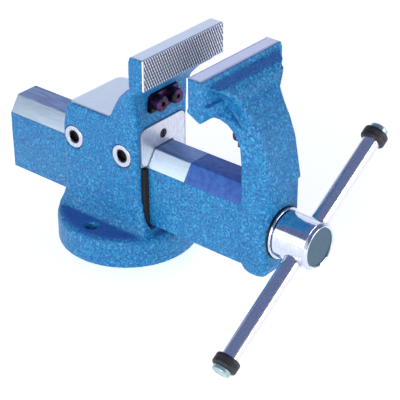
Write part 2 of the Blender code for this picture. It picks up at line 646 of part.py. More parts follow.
# ---- moving side --------------------------------------------------------------------
def column_sections():
    """Rings of the moving jaw's column, from the slide's underside up into the jaw."""
    crease = SLIDE_TOP_Z + BOSS_TOP_H
    top = JAW_TOP_Z - JAW_EDGE * 2
    front_jaw = MOVING_FACE_Y - MOVING_JAW_DEPTH
    half = JAW_WIDTH / 2
    rise = top - crease
    # share of the rise, share forward from the jaw's front to the boss, half-width
    table = ((0.0, 1.0, 0.0), (0.025, 1.05, 0.0), (0.19, 0.99, 0.0), (0.40, 0.907, 0.0),
             (0.56, 0.78, 0.0), (0.68, 0.633, 0.02), (0.76, 0.53, 0.07), (0.83, 0.42, 0.18),
             (0.90, 0.35, 0.38), (0.96, 0.26, 0.68), (1.0, 0.05, 0.94))
    wide = SLIDE_HALF_W + COLUMN_WIDER
    rows = []
    # depth below the slide's underside as a share of the boss's, inset front, inset rear
    for depth, front, rear in ((1.0, 0.012, 0.009), (0.75, 0.005, 0.004), (0.3, 0.0015, 0.0012),
                               (-0.4, 0.0, 0.0003)):
        z = SLIDE_BOTTOM_Z - BOSS_DROP * depth
        width = slide_side_x(z) + COLUMN_WIDER - max(depth, 0.0) * BOSS_DROP / 4
        rows.append(rounded_rect(width, BOSS_Y + front, COLUMN_REAR_Y - rear, z,
                                 BODY_CORNER * 0.5))
    for i in range(1, 6):
        z = SLIDE_BOTTOM_Z + BOSS_DROP + (SLIDE_TAPER_H - BOSS_DROP) * i / 5
        rows.append(rounded_rect(slide_side_x(z) + COLUMN_WIDER, BOSS_Y, COLUMN_REAR_Y, z,
                                 BODY_CORNER * 0.5))
    for up, forward, spread in table:
        z = crease + rise * up
        y0 = front_jaw + (BOSS_Y - front_jaw) * forward
        y1 = max(column_rear(z), y0 + 0.012)
        width = wide + (half - NECK_SPREAD / 2 - wide) * spread
        rows.append(rounded_rect(width, y0, y1, z, BODY_CORNER * 0.5))
    return rows


def column_rear(z):
    """Y of the column's rear face at height z: upright, then forward under the jaw."""
    start = ANVIL_Z
    share = min(max((z - start) / (JAW_BOTTOM_Z + JAW_DROOP - start), 0.0), 1.0)
    return COLUMN_REAR_Y + (THROAT - MOVING_JAW_DEPTH * 0.8) * share ** 1.7


def shoulder_sections():
    """Rings that carry the jaw's ends down into the column."""
    low = ANVIL_Z + NECK_H * 0.25
    top = JAW_BOTTOM_Z + JAW_H / 3
    half = JAW_WIDTH / 2 - NECK_SPREAD
    rows = []
    table = ((0.0, 0.0, 0.15), (0.25, 0.05, 0.2), (0.45, 0.18, 0.3), (0.60, 0.38, 0.45),
             (0.72, 0.66, 0.65), (0.82, 0.88, 0.85), (1.0, 1.0, 1.0))
    for up, spread, rear in table:
        z = low + (top - low) * up
        width = SLIDE_HALF_W + (half - SLIDE_HALF_W) * spread
        y1 = column_rear(z) + (MOVING_FACE_Y - column_rear(z)) * rear * 0.5 - 0.001
        y0 = MOVING_FACE_Y - MOVING_JAW_DEPTH - 0.0155 * (1 - spread) - 0.001
        y0 = min(y0, y1 - COLUMN_T / 2)
        rows.append(rounded_rect(width, y0, y1, z, BODY_CORNER * 0.5))
    return rows


def make_moving_jaw(parent, mat):
    half = JAW_WIDTH / 2
    ob = add_object("moving_jaw", prism_y(slide_profile(), COLUMN_REAR_Y - COLUMN_T / 2,
                                          SLIDE_REAR_Y))
    join(ob, loft(column_sections()))
    join(ob, loft(shoulder_sections()))
    join(ob, prism_x(jaw_profile(MOVING_FACE_Y, MOVING_JAW_DEPTH, -1, MOVING_JAW_DROP), -half,
                     half))
    cut_pipe_seat(ob, column_rear(PIPE_Z), -1)
    cut(ob, prism_y(hollow_profile(), HOLLOW_FRONT_Y, SLIDE_REAR_Y + SLIDE_TAIL))
    cut(ob, lathe([(-COLUMN_T, SPINDLE_R + BORE_GAP), (COLUMN_T * 2, SPINDLE_R + BORE_GAP)],
                  (0, 1, 0), (0, BOSS_Y, SPINDLE_Z), SPINDLE_SEGMENTS))
    finish(ob, mat)
    attach(ob, parent)


def attach(ob, parent):
    """Parents ob without moving it in the world."""
    bpy.context.view_layer.update()
    ob.parent = parent
    ob.matrix_parent_inverse = parent.matrix_world.inverted()


def axis_empty(name, location, parent=None):
    empty = bpy.data.objects.new(name, None)
    empty.location = location
    empty.empty_display_size = SPINDLE_R
    bpy.context.scene.collection.objects.link(empty)
    if parent is not None:
        attach(empty, parent)
    return empty


def make_spindle(parent, mat):
    axis = (0, 0, SPINDLE_Z)
    profile = [(HEAD_FRONT_Y + HEAD_DISH, HEAD_R - 2 * HEAD_EDGE),
               (HEAD_FRONT_Y, HEAD_R - 1.6 * HEAD_EDGE), (HEAD_FRONT_Y, HEAD_R - HEAD_EDGE),
               (HEAD_FRONT_Y + HEAD_EDGE, HEAD_R), (HEAD_Y, HEAD_R), (HEAD_Y, GROOVE_R),
               (GROOVE_Y, GROOVE_R), (GROOVE_Y, FLANGE_R - 0.0008), (GROOVE_Y + 0.0008, FLANGE_R),
               (FLANGE_Y - 0.0008, FLANGE_R), (FLANGE_Y, FLANGE_R - 0.0008),
               (FLANGE_Y, SPINDLE_R), (SPINDLE_REAR_Y - 0.002, SPINDLE_R),
               (SPINDLE_REAR_Y, SPINDLE_R - 0.002)]
    ob = add_object("spindle", lathe(profile, (0, 1, 0), axis, SPINDLE_SEGMENTS), axis)
    reach = HEAD_R * 1.5
    cut(ob, lathe([(-reach, ROD_R + BORE_GAP), (reach, ROD_R + BORE_GAP)], rod_axis(),
                  (0, ROD_Y, SPINDLE_Z), ROD_SEGMENTS))
    cut(ob, lathe([(-SPINDLE_R * 2, COLLAR_PIN_R + BORE_GAP),
                   (SPINDLE_R * 2, COLLAR_PIN_R + BORE_GAP)], (0, 0, 1),
                  (0, collar_y(), SPINDLE_Z), 12))
    finish(ob, mat)
    attach(ob, parent)


def collar_y():
    return HOLLOW_FRONT_Y + GAP + COLLAR_T / 2


def make_thrust_washer(parent, mat):
    ob = add_object("thrust_washer",
                    lathe([(-WASHER_T, WASHER_R), (0.0, WASHER_R)], (0, 1, 0),
                          (0, WASHER_Y, SPINDLE_Z), SPINDLE_SEGMENTS))
    cut(ob, lathe([(-WASHER_T * 3, SPINDLE_R + BORE_GAP), (WASHER_T * 3, SPINDLE_R + BORE_GAP)],
                  (0, 1, 0), (0, WASHER_Y, SPINDLE_Z), SPINDLE_SEGMENTS))
    finish(ob, mat)
    attach(ob, parent)


def make_collar(parent, mat, pin_mat):
    centre = (0, collar_y(), SPINDLE_Z)
    ob = add_object("retaining_collar",
                    lathe([(-COLLAR_T / 2, COLLAR_R), (COLLAR_T / 2, COLLAR_R)], (0, 1, 0),
                          centre, 32))
    cut(ob, lathe([(-COLLAR_T, SPINDLE_R + BORE_GAP), (COLLAR_T, SPINDLE_R + BORE_GAP)],
                  (0, 1, 0), centre, SPINDLE_SEGMENTS))
    cut(ob, lathe([(-COLLAR_R * 2, COLLAR_PIN_R + BORE_GAP),
                   (COLLAR_R * 2, COLLAR_PIN_R + BORE_GAP)], (0, 0, 1), centre, 12))
    finish(ob, mat)
    attach(ob, parent)
    length = COLLAR_R - GAP
    pin = add_object("collar_pin", lathe([(-length, COLLAR_PIN_R), (length, COLLAR_PIN_R)],
                                         (0, 0, 1), centre, 12))
    finish(pin, pin_mat)
    attach(pin, parent)


def rod_axis():
    return Vector((math.cos(ROD_TILT), 0.0, math.sin(ROD_TILT)))


def make_handle(parent, rod_mat, cap_mat, ring_mat):
    centre = Vector((0, ROD_Y, SPINDLE_Z)) + rod_axis() * ROD_SHIFT
    half = ROD_LEN / 2
    rod = add_object("handle_rod", lathe([(-half, ROD_R), (half, ROD_R)], rod_axis(), centre,
                                         ROD_SEGMENTS), centre)
    finish(rod, rod_mat)
    attach(rod, parent)
    for name, side in (("lower", -1), ("upper", 1)):
        axis = rod_axis() * side
        make_cap(name, axis, centre + axis * half, rod, cap_mat)
        make_ring(name, axis, centre + axis * (half - GAP - RING_T), rod, ring_mat)


def make_cap(name, axis, seat, parent, mat):
    cap = add_object("handle_cap_" + name,
                     lathe([(GAP, CAP_R), (GAP + CAP_T - CAP_EDGE, CAP_R),
                            (GAP + CAP_T, CAP_R - CAP_EDGE)], axis, seat, ROD_SEGMENTS))
    finish(cap, mat)
    attach(cap, parent)


def make_ring(name, axis, seat, parent, mat):
    ring = add_object("handle_ring_" + name,
                      lathe([(0.0, RING_R - RING_EDGE), (RING_EDGE * 0.3, RING_R - RING_EDGE * 0.3),
                             (RING_EDGE, RING_R), (RING_T - RING_EDGE, RING_R),
                             (RING_T - RING_EDGE * 0.3, RING_R - RING_EDGE * 0.3),
                             (RING_T, RING_R - RING_EDGE)], axis, seat, ROD_SEGMENTS))
    cut(ring, lathe([(-RING_T, ROD_R + BORE_GAP), (2 * RING_T, ROD_R + BORE_GAP)], axis, seat,
                    ROD_SEGMENTS))
    finish(ring, mat)
    attach(ring, parent)


def build():
    clear_scene()
    paint = material("blue_paint", BLUE, 0.35, 0.0)
    bare = material("machined_steel", BARE, 0.35, 1.0)
    dark = material("dark_steel", DARK, 0.4, 1.0)
    bright = material("bright_steel", BRIGHT, 0.2, 1.0)
    brass = material("bronze", BRASS, 0.4, 1.0)
    rubber = material("black_rubber", RUBBER, 0.5, 0.0)
    teal = material("cap_steel", TEAL, 0.35, 0.6)
    make_fixed_body(paint)
    make_guide_plate(bare)
    make_guide_plate_screw(dark)
    make_gibs(bare)
    make_adjusting_screws(bright)
    make_pipe_jaw("pipe_jaw_fixed", BODY_FRONT_Y, 1, dark)
    make_pipe_jaw_screws("pipe_jaw_fixed_screw", BODY_FRONT_Y, 1, dark)
    make_spindle_nut(brass)
    make_nut_bolts(dark)
    slide_axis = axis_empty("slide_axis", (0, MOVING_FACE_Y, SPINDLE_Z))
    make_moving_jaw(slide_axis, paint)
    for make, item in ((make_pipe_jaw, "pipe_jaw_moving"),
                       (make_pipe_jaw_screws, "pipe_jaw_moving_screw")):
        make(item, column_rear(PIPE_Z), -1, dark)
    for ob in list(bpy.data.objects):
        if ob.name.startswith("pipe_jaw_moving"):
            attach(ob, slide_axis)
    make_thrust_washer(slide_axis, dark)
    spindle_axis = axis_empty("spindle_axis", (0, HEAD_FRONT_Y, SPINDLE_Z), slide_axis)
    make_spindle(spindle_axis, bright)
    make_collar(spindle_axis, dark, bright)
    make_handle(spindle_axis, bright, teal, rubber)


build()
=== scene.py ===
"""Looks of the bench vise: forged blue castings, toothed jaws, ground slide, turned spindle."""
import json
import math

import bmesh
import bpy
from mathutils import Matrix, Vector


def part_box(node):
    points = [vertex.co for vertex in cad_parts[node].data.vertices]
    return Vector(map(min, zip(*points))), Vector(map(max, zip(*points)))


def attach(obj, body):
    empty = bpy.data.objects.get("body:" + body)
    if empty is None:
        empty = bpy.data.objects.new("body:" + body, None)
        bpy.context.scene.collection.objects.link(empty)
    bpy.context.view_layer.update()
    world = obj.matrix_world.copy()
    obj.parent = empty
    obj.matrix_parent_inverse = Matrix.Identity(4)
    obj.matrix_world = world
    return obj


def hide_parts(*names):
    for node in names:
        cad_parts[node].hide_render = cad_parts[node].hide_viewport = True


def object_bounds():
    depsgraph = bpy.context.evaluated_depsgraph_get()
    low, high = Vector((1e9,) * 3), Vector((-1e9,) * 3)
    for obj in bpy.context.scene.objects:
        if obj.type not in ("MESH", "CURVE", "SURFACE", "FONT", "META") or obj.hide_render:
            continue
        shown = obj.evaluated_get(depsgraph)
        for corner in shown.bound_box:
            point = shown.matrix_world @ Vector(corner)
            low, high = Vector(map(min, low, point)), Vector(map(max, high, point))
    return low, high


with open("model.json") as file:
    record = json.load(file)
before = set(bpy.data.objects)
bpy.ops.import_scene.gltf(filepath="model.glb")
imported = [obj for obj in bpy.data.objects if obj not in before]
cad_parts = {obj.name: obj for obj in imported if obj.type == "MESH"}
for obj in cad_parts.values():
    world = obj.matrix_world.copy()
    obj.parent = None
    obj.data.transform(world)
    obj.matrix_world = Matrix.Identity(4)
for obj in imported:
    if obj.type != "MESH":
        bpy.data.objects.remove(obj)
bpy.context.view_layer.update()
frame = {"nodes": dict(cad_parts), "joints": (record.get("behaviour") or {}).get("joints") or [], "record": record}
nodes = frame["nodes"]
scene = bpy.context.scene


# ---- camera -------------------------------------------------------------------------
def make_camera():
    """Three-quarter view from the left front, a little above."""
    azimuth, elevation, roll = math.radians(-50.0), math.radians(30.0), math.radians(0.2)
    back = Vector((math.sin(azimuth) * math.cos(elevation),
                   -math.cos(azimuth) * math.cos(elevation), math.sin(elevation)))
    data = bpy.data.cameras.new("camera")
    data.lens, data.sensor_width = 144.0, 36.0
    data.clip_start, data.clip_end = 0.05, 30.0
    cam = bpy.data.objects.new("camera", data)
    scene.collection.objects.link(cam)
    aim = Vector((0.0, -0.10225, 0.07725))
    turn = (-back).to_track_quat("-Z", "Y").to_matrix().to_4x4()
    cam.matrix_world = Matrix.Translation(aim + back * 1.6659) @ turn @ Matrix.Rotation(
        -roll, 4, "Z")
    scene.camera = cam


make_camera()


# ---- shader writing -----------------------------------------------------------------
class Wire:
    """A socket in a material's tree. Arithmetic on it adds Math nodes."""

    def __init__(self, maker, socket):
        self.maker, self.socket = maker, socket

    def math(self, operation, *values):
        return self.maker.node("ShaderNodeMath", {"operation": operation},
                               dict(enumerate(values)))

    def __add__(self, other):
        return self.math("ADD", self, other)

    def __radd__(self, other):
        return self.math("ADD", other, self)

    def __sub__(self, other):
        return self.math("SUBTRACT", self, other)

    def __rsub__(self, other):
        return self.math("SUBTRACT", other, self)

    def __mul__(self, other):
        return self.math("MULTIPLY", self, other)

    def __rmul__(self, other):
        return self.math("MULTIPLY", other, self)

    def __truediv__(self, other):
        return self.math("DIVIDE", self, other)

    def __gt__(self, other):
        return self.math("GREATER_THAN", self, other)

    def __lt__(self, other):
        return self.math("LESS_THAN", self, other)

    def __abs__(self):
        return self.math("ABSOLUTE", self)

    def step(self, low, high, out_low=0.0, out_high=1.0):
        """Smoothly from out_low to out_high as the value goes from low to high."""
        return self.maker.node("ShaderNodeMapRange",
                               {"interpolation_type": "SMOOTHSTEP", "clamp": True},
                               {0: self, 1: low, 2: high, 3: out_low, 4: out_high})


class Finish:
    """Builds one material as a node tree around a Principled shader."""

    def __init__(self, name):
        self.material = bpy.data.materials.new(name)
        self.material.use_nodes = True
        self.tree = self.material.node_tree
        self.shader = self.tree.nodes["Principled BSDF"]
        self.place = self.node("ShaderNodeTexCoord", out="Object")
        split = self.node("ShaderNodeSeparateXYZ", {}, {0: self.place}).socket.node
        self.x, self.y, self.z = [Wire(self, s) for s in split.outputs]
        facing = self.node("ShaderNodeTexCoord", out="Normal")
        split = self.node("ShaderNodeSeparateXYZ", {}, {0: facing}).socket.node
        self.nx, self.ny, self.nz = [Wire(self, s) for s in split.outputs]

    def node(self, kind, settings=None, inputs=None, out=0):
        item = self.tree.nodes.new(kind)
        for key, value in (settings or {}).items():
            setattr(item, key, value)
        for key, value in (inputs or {}).items():
            self.plug(item.inputs[key], value)
        return Wire(self, item.outputs[out])

    def plug(self, socket, value):
        if isinstance(value, Wire):
            self.tree.links.new(value.socket, socket)
        elif isinstance(value, (tuple, list)) and socket.type == "RGBA" and len(value) == 3:
            socket.default_value = (*value, 1.0)
        else:
            socket.default_value = value

    def noise(self, scale, detail=3.0, rough=0.5, warp=0.0, stretch=None):
        return self.node("ShaderNodeTexNoise", {}, {
            "Vector": self.stretched(stretch), "Scale": scale, "Detail": detail,
            "Roughness": rough, "Distortion": warp}, out="Fac")

    def cells(self, scale, feature="F1", out="Distance"):
        return self.node("ShaderNodeTexVoronoi", {"feature": feature},
                         {"Vector": self.place, "Scale": scale}, out=out)

    def stretched(self, stretch):
        if stretch is None:
            return self.place
        return self.node("ShaderNodeMapping", {}, {"Vector": self.place, "Scale": stretch})

    def mix(self, share, low, high):
        item = self.tree.nodes.new("ShaderNodeMix")
        item.data_type = "RGBA"
        self.plug(item.inputs[0], share)
        self.plug(item.inputs[6], low)
        self.plug(item.inputs[7], high)
        return Wire(self, item.outputs[2])

    def bump(self, height, strength, distance):
        return self.node("ShaderNodeBump", {}, {"Height": height, "Strength": strength,
                                                "Distance": distance})

    def done(self, **values):
        for key, value in values.items():
            self.plug(self.shader.inputs[key.replace("_", " ")], value)
        return self.material


# ---- finishes -----------------------------------------------------------------------
def hammered(paint):
    """Blue hammered enamel: colour with painted shade on level tops, roughness and height."""
    grain = paint.noise(430.0, 4.0, 0.62)
    broad = paint.noise(24.0, 2.0, 0.5)
    dimples = paint.cells(400.0, "SMOOTH_F1")
    fleck = paint.cells(520.0, out="Color")
    spark = paint.node("ShaderNodeSeparateColor", {}, {0: fleck}).step(0.80, 0.98)
    color = paint.mix(grain.step(0.36, 0.64), (0.002, 0.080, 0.240), (0.012, 0.250, 0.500))
    color = paint.mix(broad.step(0.35, 0.7, 0.0, 0.35), color, (0.004, 0.120, 0.340))
    color = paint.mix(spark * 0.45, color, (0.10, 0.46, 0.68))
    # Painted shade: level tops are painted a darker violet-blue, as the lights leave them in shade.
    level = paint.nz.step(0.82, 0.97)
    color = paint.mix(level * 0.85, color, paint.mix(grain.step(0.3, 0.7), (0.030, 0.100, 0.340),
                                                     (0.055, 0.145, 0.430)))
    height = grain * 0.6 + dimples * 0.7
    rough = grain.step(0.3, 0.7, 0.42, 0.58)
    return color, rough, height


def ground(steel, stretch, tint=(0.60, 0.62, 0.70)):
    """Ground bare steel: fine lines along one direction, faint stains."""
    lines = steel.noise(900.0, 3.0, 0.7, stretch=stretch)
    stain = steel.noise(45.0, 4.0, 0.6)
    color = steel.mix(lines.step(0.3, 0.7), tuple(c * 0.86 for c in tint), tint)
    color = steel.mix(stain.step(0.45, 0.8, 0.0, 0.3), color, tuple(c * 0.82 for c in tint))
    return color, lines.step(0.3, 0.7, 0.30, 0.44), lines


def two_tone(name, bare_mask, stretch, tint=(0.72, 0.73, 0.86), painted_shade_mask=None):
    """Hammered paint with bare ground steel where bare_mask(finish) is 1; the optional second mask paints
    near-black shade into the paint.
    """
    paint = Finish(name)
    blue, blue_rough, blue_height = hammered(paint)
    steel, steel_rough, steel_height = ground(paint, stretch, tint)
    bare = bare_mask(paint)
    if painted_shade_mask:
        # Painted shade: near-black is blended into the paint wherever the shade mask is 1.
        blue = paint.mix(painted_shade_mask(paint), blue, (0.012, 0.009, 0.010))
    height = blue_height * (1 - bare) + steel_height * bare * 0.12
    return paint.done(Base_Color=paint.mix(bare, blue, steel),
                      Roughness=blue_rough * (1 - bare) + steel_rough * bare,
                      Metallic=bare * 0.75,
                      Coat_Weight=(1 - bare) * 0.12,
                      Coat_Roughness=0.25,
                      Specular_IOR_Level=0.3,
                      Normal=paint.bump(height, 0.75, 0.0008))


def steel_finish(name, tint, stretch=None, low=0.2, high=0.4, metallic=1.0, depth=0.00012,
                 scale=700.0, stain=0.3):
    steel = Finish(name)
    lines = steel.noise(scale, 3.0, 0.65, stretch=stretch)
    cloud = steel.noise(60.0, 4.0, 0.6)
    color = steel.mix(lines.step(0.3, 0.7), tuple(c * 0.72 for c in tint), tint)
    color = steel.mix(cloud.step(0.5, 0.8, 0.0, stain), color, tuple(c * 0.5 for c in tint))
    return steel.done(Base_Color=color, Roughness=lines.step(0.3, 0.7, low, high),
                      Metallic=metallic, Normal=steel.bump(lines, 0.5, depth))


mount_places = {m["name"]: m["pos_m"] for m in frame["record"]["mounts"]}
jaw_top_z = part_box("fixed_body")[1].z
anvil_z = mount_places["anvil_top"][2]
moving_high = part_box("moving_jaw")[1]
face_y = mount_places["fixed_jaw_face"][1]
moving_face_y = mount_places["moving_jaw_face"][1]

# Where the castings' own surfaces lie.
BODY_FRONT_Y = -0.052
CHANNEL_HALF_W = 0.033
CHANNEL_FLOOR_Z, CHANNEL_TOP_Z = 0.039, 0.133
SLIDE_BOTTOM_Z, SLIDE_SIDE_Z, SLIDE_TOP_Z = 0.0415, 0.109, 0.127
SLIDE_ROOT_Y = -0.1745     # the slide runs into the column here
BARE_FRONT_Y = -0.1023     # bare steel behind this, paint in front of it


def body_bare(paint):
    """Jaw top and anvil top are bare."""
    up = paint.nz.step(0.80, 0.92)
    jaw = paint.z.step(jaw_top_z - 0.0022, jaw_top_z - 0.0012)
    anvil = abs(paint.z - anvil_z).step(0.0030, 0.0016)
    return up * (jaw + anvil * (paint.y > -0.030))


def jaw_bare(paint):
    return paint.nz.step(0.80, 0.92) * paint.z.step(jaw_top_z - 0.0022, jaw_top_z - 0.0012)


def channel_painted_shade(paint):
    """Painted shade: near-black colour on the inside of the slide's channel, where shade falls."""
    inside = abs(paint.x).step(CHANNEL_HALF_W + 0.0014, CHANNEL_HALF_W + 0.0006)
    inside = inside * paint.z.step(CHANNEL_TOP_Z + 0.0015, CHANNEL_TOP_Z + 0.0005)
    inside = inside * paint.z.step(CHANNEL_FLOOR_Z - 0.0005, CHANNEL_FLOOR_Z + 0.0005)
    return inside * paint.y.step(BODY_FRONT_Y + 0.0005, BODY_FRONT_Y + 0.0020)


body_finish = two_tone("forged_body_blue", body_bare, (0.08, 1.0, 1.0), (0.78, 0.84, 0.86),
                       channel_painted_shade)
jaw_finish = two_tone("forged_jaw_blue", jaw_bare, (0.08, 1.0, 1.0))


def slide_material():
    """Bare ground top and bevels behind the painted stretch next to the column; the level bare top carries a
    painted slate-blue reflection.
    """
    paint = Finish("slide_finish")
    blue, blue_rough, blue_height = hammered(paint)
    steel, steel_rough, steel_height = ground(paint, (1.0, 0.06, 1.0), (0.62, 0.74, 0.80))
    smooth_blue = paint.mix(paint.noise(160.0, 2.0).step(0.3, 0.7), (0.020, 0.085, 0.330),
                            (0.040, 0.130, 0.430))
    top = paint.z.step(SLIDE_SIDE_Z + 0.00025, SLIDE_SIDE_Z + 0.0008)
    behind = paint.y.step(BARE_FRONT_Y - 0.0003, BARE_FRONT_Y + 0.0003)
    painted = paint.mix(top, blue, smooth_blue)
    # Painted reflection: level bare faces are painted streaky slate-blue, standing in for the dark reflection on
    # the ground top.
    flat = paint.nz.step(0.93, 0.97)
    steel_and_painted_reflection = paint.mix(flat, steel, paint.mix(paint.noise(240.0, 3.0, 0.6, 0.0, (1.0, 0.12, 1.0))
                                              .step(0.35, 0.65), (0.110, 0.190, 0.390),
                                              (0.210, 0.310, 0.520)))
    bare = top * behind
    height = blue_height * (1 - top) + steel_height * top * 0.1
    return paint.done(Base_Color=paint.mix(bare, painted, steel_and_painted_reflection),
                      Roughness=blue_rough * (1 - bare) + steel_rough * bare,
                      Metallic=bare * (1 - flat * 0.35) * 0.85,
                      Coat_Weight=(1 - bare) * 0.2, Coat_Roughness=0.22,
                      Specular_IOR_Level=0.3,
                      Normal=paint.bump(height, 0.75, 0.0007))


def toothed_material():
    """Hardened jaw steel: dark valleys, bright worn crests."""
    steel = Finish("toothed_steel")
    depth = steel.node("ShaderNodeAttribute", {"attribute_name": "valley"}, {}, out="Fac")
    worn = steel.noise(500.0, 3.0, 0.6)
    color = steel.mix(depth.step(0.25, 0.75), (0.86, 0.88, 0.94), (0.025, 0.035, 0.075))
    color = steel.mix(worn.step(0.5, 0.8, 0.0, 0.35), color, (0.35, 0.40, 0.52))
    return steel.done(Base_Color=color, Roughness=worn.step(0.3, 0.7, 0.28, 0.42),
                      Metallic=depth.step(0.2, 0.8, 0.85, 0.5))


def black_steel_with_violet_reflection():
    """Hardened, oiled black steel with violet patches painted in as a reflection of the blue paint around it."""
    steel = Finish("black_steel_violet_reflection")
    tint = steel.noise(130.0, 2.0, 0.5)
    fine = steel.noise(900.0, 3.0, 0.6)
    # Painted reflection: random violet patches on the black steel stand in for the blue paint it reflects.
    color = steel.mix(tint.step(0.42, 0.62), (0.018, 0.016, 0.026), (0.095, 0.030, 0.115))
    return steel.done(Base_Color=color, Roughness=fine.step(0.3, 0.7, 0.22, 0.38),
                      Metallic=0.9, Normal=steel.bump(fine, 0.4, 0.00012))


def rubber():
    skin = Finish("ring_rubber")
    fine = skin.noise(1100.0, 4.0, 0.6)
    dust = skin.noise(90.0, 3.0, 0.6)
    color = skin.mix(dust.step(0.5, 0.8, 0.0, 0.5), (0.010, 0.010, 0.012), (0.045, 0.045, 0.05))
    return skin.done(Base_Color=color, Roughness=fine.step(0.3, 0.7, 0.42, 0.6),
                     Normal=skin.bump(fine, 0.4, 0.0002))


def gap_shade_sheet_finish():
    # Near-black finish for the strip of painted shade in the slide's gap.
    shade_sheet = Finish("gap_shade_black_sheet")
    sheet_grain = shade_sheet.noise(1500.0, 4.0, 0.7)
    color = shade_sheet.mix(sheet_grain.step(0.3, 0.7), (0.004, 0.004, 0.005), (0.016, 0.013, 0.013))
    return shade_sheet.done(Base_Color=color, Roughness=sheet_grain.step(0.3, 0.7, 0.8, 0.95),
                      Normal=shade_sheet.bump(sheet_grain, 0.5, 0.0003))


slide_finish = slide_material()
tooth_finish = toothed_material()
violet_reflection_steel = black_steel_with_violet_reflection()
ring_rubber = rubber()
gap_shade_black = gap_shade_sheet_finish()
plate_steel = steel_finish("plate_steel", (0.74, 0.76, 0.84), (1.0, 1.0, 0.15), 0.28, 0.45, 0.8)
screw_steel = steel_finish("screw_steel", (0.70, 0.72, 0.80), None, 0.22, 0.38, 0.95)
gib_steel = steel_finish("gib_steel", (0.48, 0.49, 0.52), (1.0, 0.08, 1.0), 0.3, 0.45)
spindle_steel = steel_finish("turned_spindle_steel", (0.78, 0.82, 0.90), (0.25, 6.0, 0.25),
                             0.06, 0.16, 1.0, 0.00003, 300.0, 0.15)
rod_steel = steel_finish("rod_steel", (0.90, 0.89, 0.92), (1.0, 1.0, 1.0), 0.12, 0.22, 1.0,
                         0.00001, 900.0, 0.12)
disc_steel = steel_finish("disc_steel", (0.085, 0.155, 0.200), None, 0.2, 0.34, 0.85, 0.00005)
thread_steel = steel_finish("thread_steel", (0.40, 0.40, 0.43), None, 0.25, 0.4)
# Near-black for painted shade inside the screws' hexagon sockets.
socket_painted_shade = steel_finish("socket_painted_shade", (0.012, 0.012, 0.016), None, 0.35, 0.5, 0.6)
black_steel = steel_finish("black_steel", (0.035, 0.036, 0.042), None, 0.3, 0.45, 0.8)
cap_steel = steel_finish("cap_steel", (0.42, 0.56, 0.55), None, 0.22, 0.38, 0.75)
bronze = steel_finish("nut_bronze", (0.60, 0.40, 0.16), (1.0, 0.1, 1.0), 0.28, 0.42)


# ---- mesh helpers -------------------------------------------------------------------
def add_mesh(name, mesh, materials):
    ob = bpy.data.objects.new(name, mesh)
    scene.collection.objects.link(ob)
    mesh.materials.clear()
    for item in materials:
        mesh.materials.append(item)
    return ob


def from_bmesh(name, bm, materials, angle=32.0):
    bmesh.ops.recalc_face_normals(bm, faces=bm.faces)
    mesh = bpy.data.meshes.new(name)
    bm.to_mesh(mesh)
    bm.free()
    mesh.shade_smooth()
    mesh.set_sharp_from_angle(angle=math.radians(angle))
    return add_mesh(name, mesh, materials)


def node_copy(node):
    """A CAD node's mesh with its loose triangles merged."""
    bm = bmesh.new()
    bm.from_mesh(nodes[node].data)
    bmesh.ops.remove_doubles(bm, verts=bm.verts, dist=1e-6)
    return bm


def bake(ob):
    """Turns an object's modifiers into its mesh."""
    bpy.context.view_layer.update()
    graph = bpy.context.evaluated_depsgraph_get()
    mesh = bpy.data.meshes.new_from_object(ob.evaluated_get(graph))
    old = ob.data
    ob.modifiers.clear()
    ob.data = mesh
    mesh.name = ob.name
    bpy.data.meshes.remove(old)
    return ob


def loft(rings):
    bm = bmesh.new()
    made = [[bm.verts.new(p) for p in ring] for ring in rings]
    for low, high in zip(made, made[1:]):
        for i in range(len(low)):
            j = (i + 1) % len(low)
            bm.faces.new((low[i], low[j], high[j], high[i]))
    bm.faces.new(made[0][::-1])
    bm.faces.new(made[-1])
    return bm


def block(low, high):
    (x0, y0, z0), (x1, y1, z1) = low, high
    return loft([[Vector((x, y, z)) for x, z in ((x0, z0), (x1, z0), (x1, z1), (x0, z1))]
                 for y in (y0, y1)])


def turned(profile, axis, centre, segments, wobble=None):
    """Turns (along, radius) pairs about an axis; wobble(angle, along) scales the radius."""
    turn = Vector((0, 0, 1)).rotation_difference(Vector(axis)).to_matrix().to_4x4()
    place = Matrix.Translation(centre) @ turn
    rings = []
    for along, radius in profile:
        ring = []
        for i in range(segments):
            a = 2 * math.pi * i / segments
            r = radius * (wobble(a, along) if wobble else 1.0)
            ring.append(place @ Vector((r * math.cos(a), r * math.sin(a), along)))
        rings.append(ring)
    return loft(rings)


def carve(ob, bm, operation="DIFFERENCE"):
    """Cuts a solid out of ob, or with INTERSECT keeps only what lies in the solid."""
    tool = from_bmesh("carve_tool", bm, [])
    mod = ob.modifiers.new("carve", "BOOLEAN")
    mod.operation, mod.object = operation, tool
    bake(ob)
    bpy.data.objects.remove(tool, do_unlink=True)


def forge(ob, voxel, passes):
    """Rounds every edge as a drop forging's are."""
    remesh = ob.modifiers.new("skin", "REMESH")
    remesh.mode, remesh.voxel_size, remesh.use_smooth_shade = "VOXEL", voxel, True
    soft = ob.modifiers.new("soften", "SMOOTH")
    soft.factor, soft.iterations = 0.5, passes
    bake(ob)


